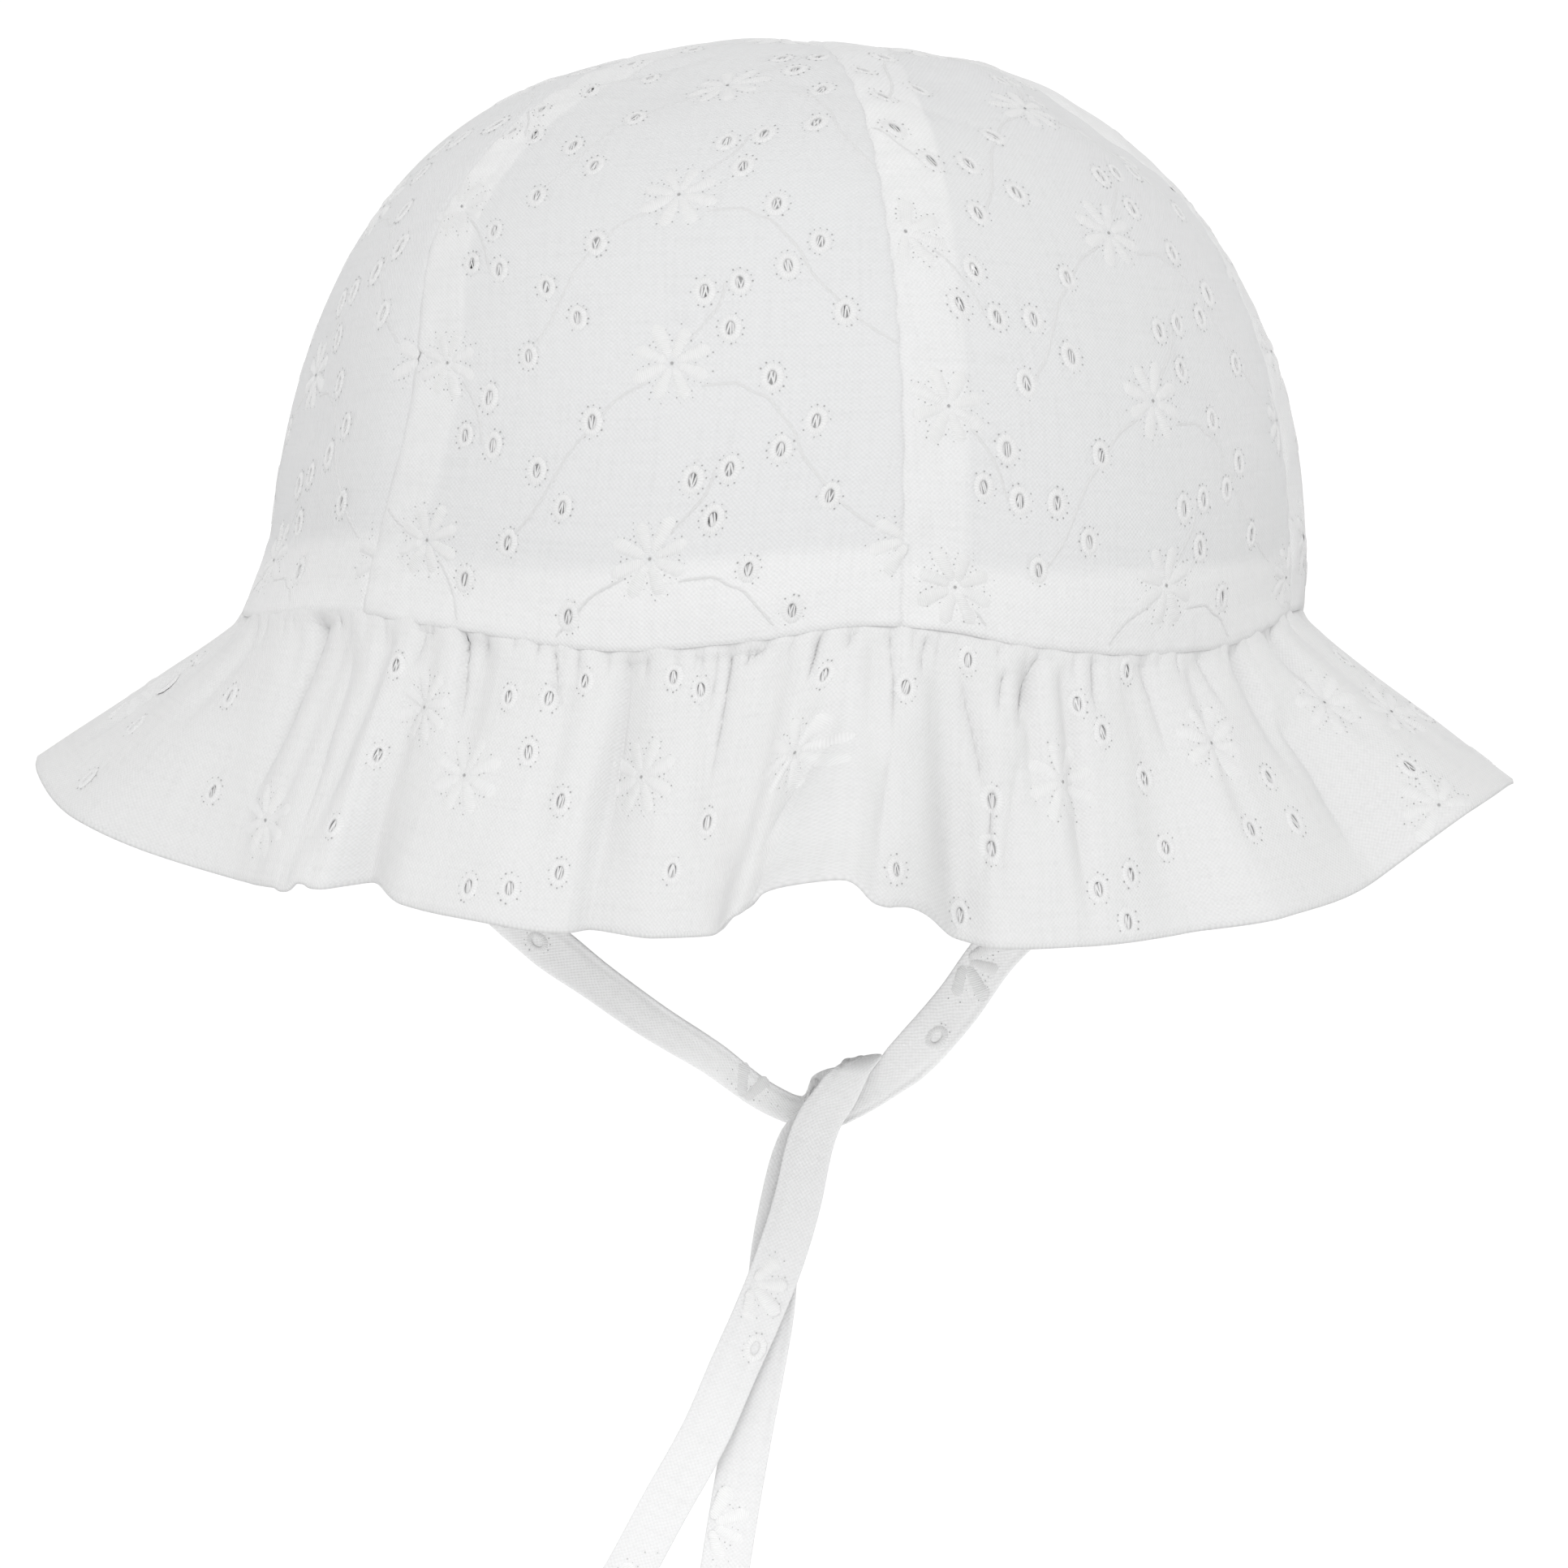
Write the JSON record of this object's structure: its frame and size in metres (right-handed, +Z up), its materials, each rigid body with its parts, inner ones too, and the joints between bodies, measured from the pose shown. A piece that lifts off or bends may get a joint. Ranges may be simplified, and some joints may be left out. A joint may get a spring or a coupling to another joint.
{
  "type": "sun hat",
  "caption": "Baby's sun hat in white eyelet cotton, with a rounded panelled crown, a gathered ruffle brim and flat chin ties in a half knot.",
  "frame": {"origin": "centre of the head opening, on the level of the seam between crown and brim, where the hat sits on a head", "axes": "+Z up through the crown; -Y to the front of the hat, where the knot hangs; +X to the right as the front is seen"},
  "size_m": [0.2127, 0.2065, 0.2273],
  "materials": {
    "eyelet_cotton": "matt",
    "plain_cotton": "matt",
    "brim_cotton": "matt",
    "tie_cotton": "matt"
  },
  "bodies": {
    "root": {"crown_panel_1": "eyelet_cotton", "crown_panel_2": "eyelet_cotton", "crown_panel_3": "eyelet_cotton", "crown_panel_4": "eyelet_cotton", "crown_panel_5": "eyelet_cotton", "crown_panel_6": "eyelet_cotton", "seam_fold_1": "plain_cotton", "seam_fold_2": "plain_cotton", "seam_fold_3": "plain_cotton", "seam_fold_4": "plain_cotton", "seam_fold_5": "plain_cotton", "seam_fold_6": "plain_cotton", "facing_band": "plain_cotton", "brim": "brim_cotton", "tie_left": "tie_cotton", "tie_right": "tie_cotton"}
  },
  "joints": []
}
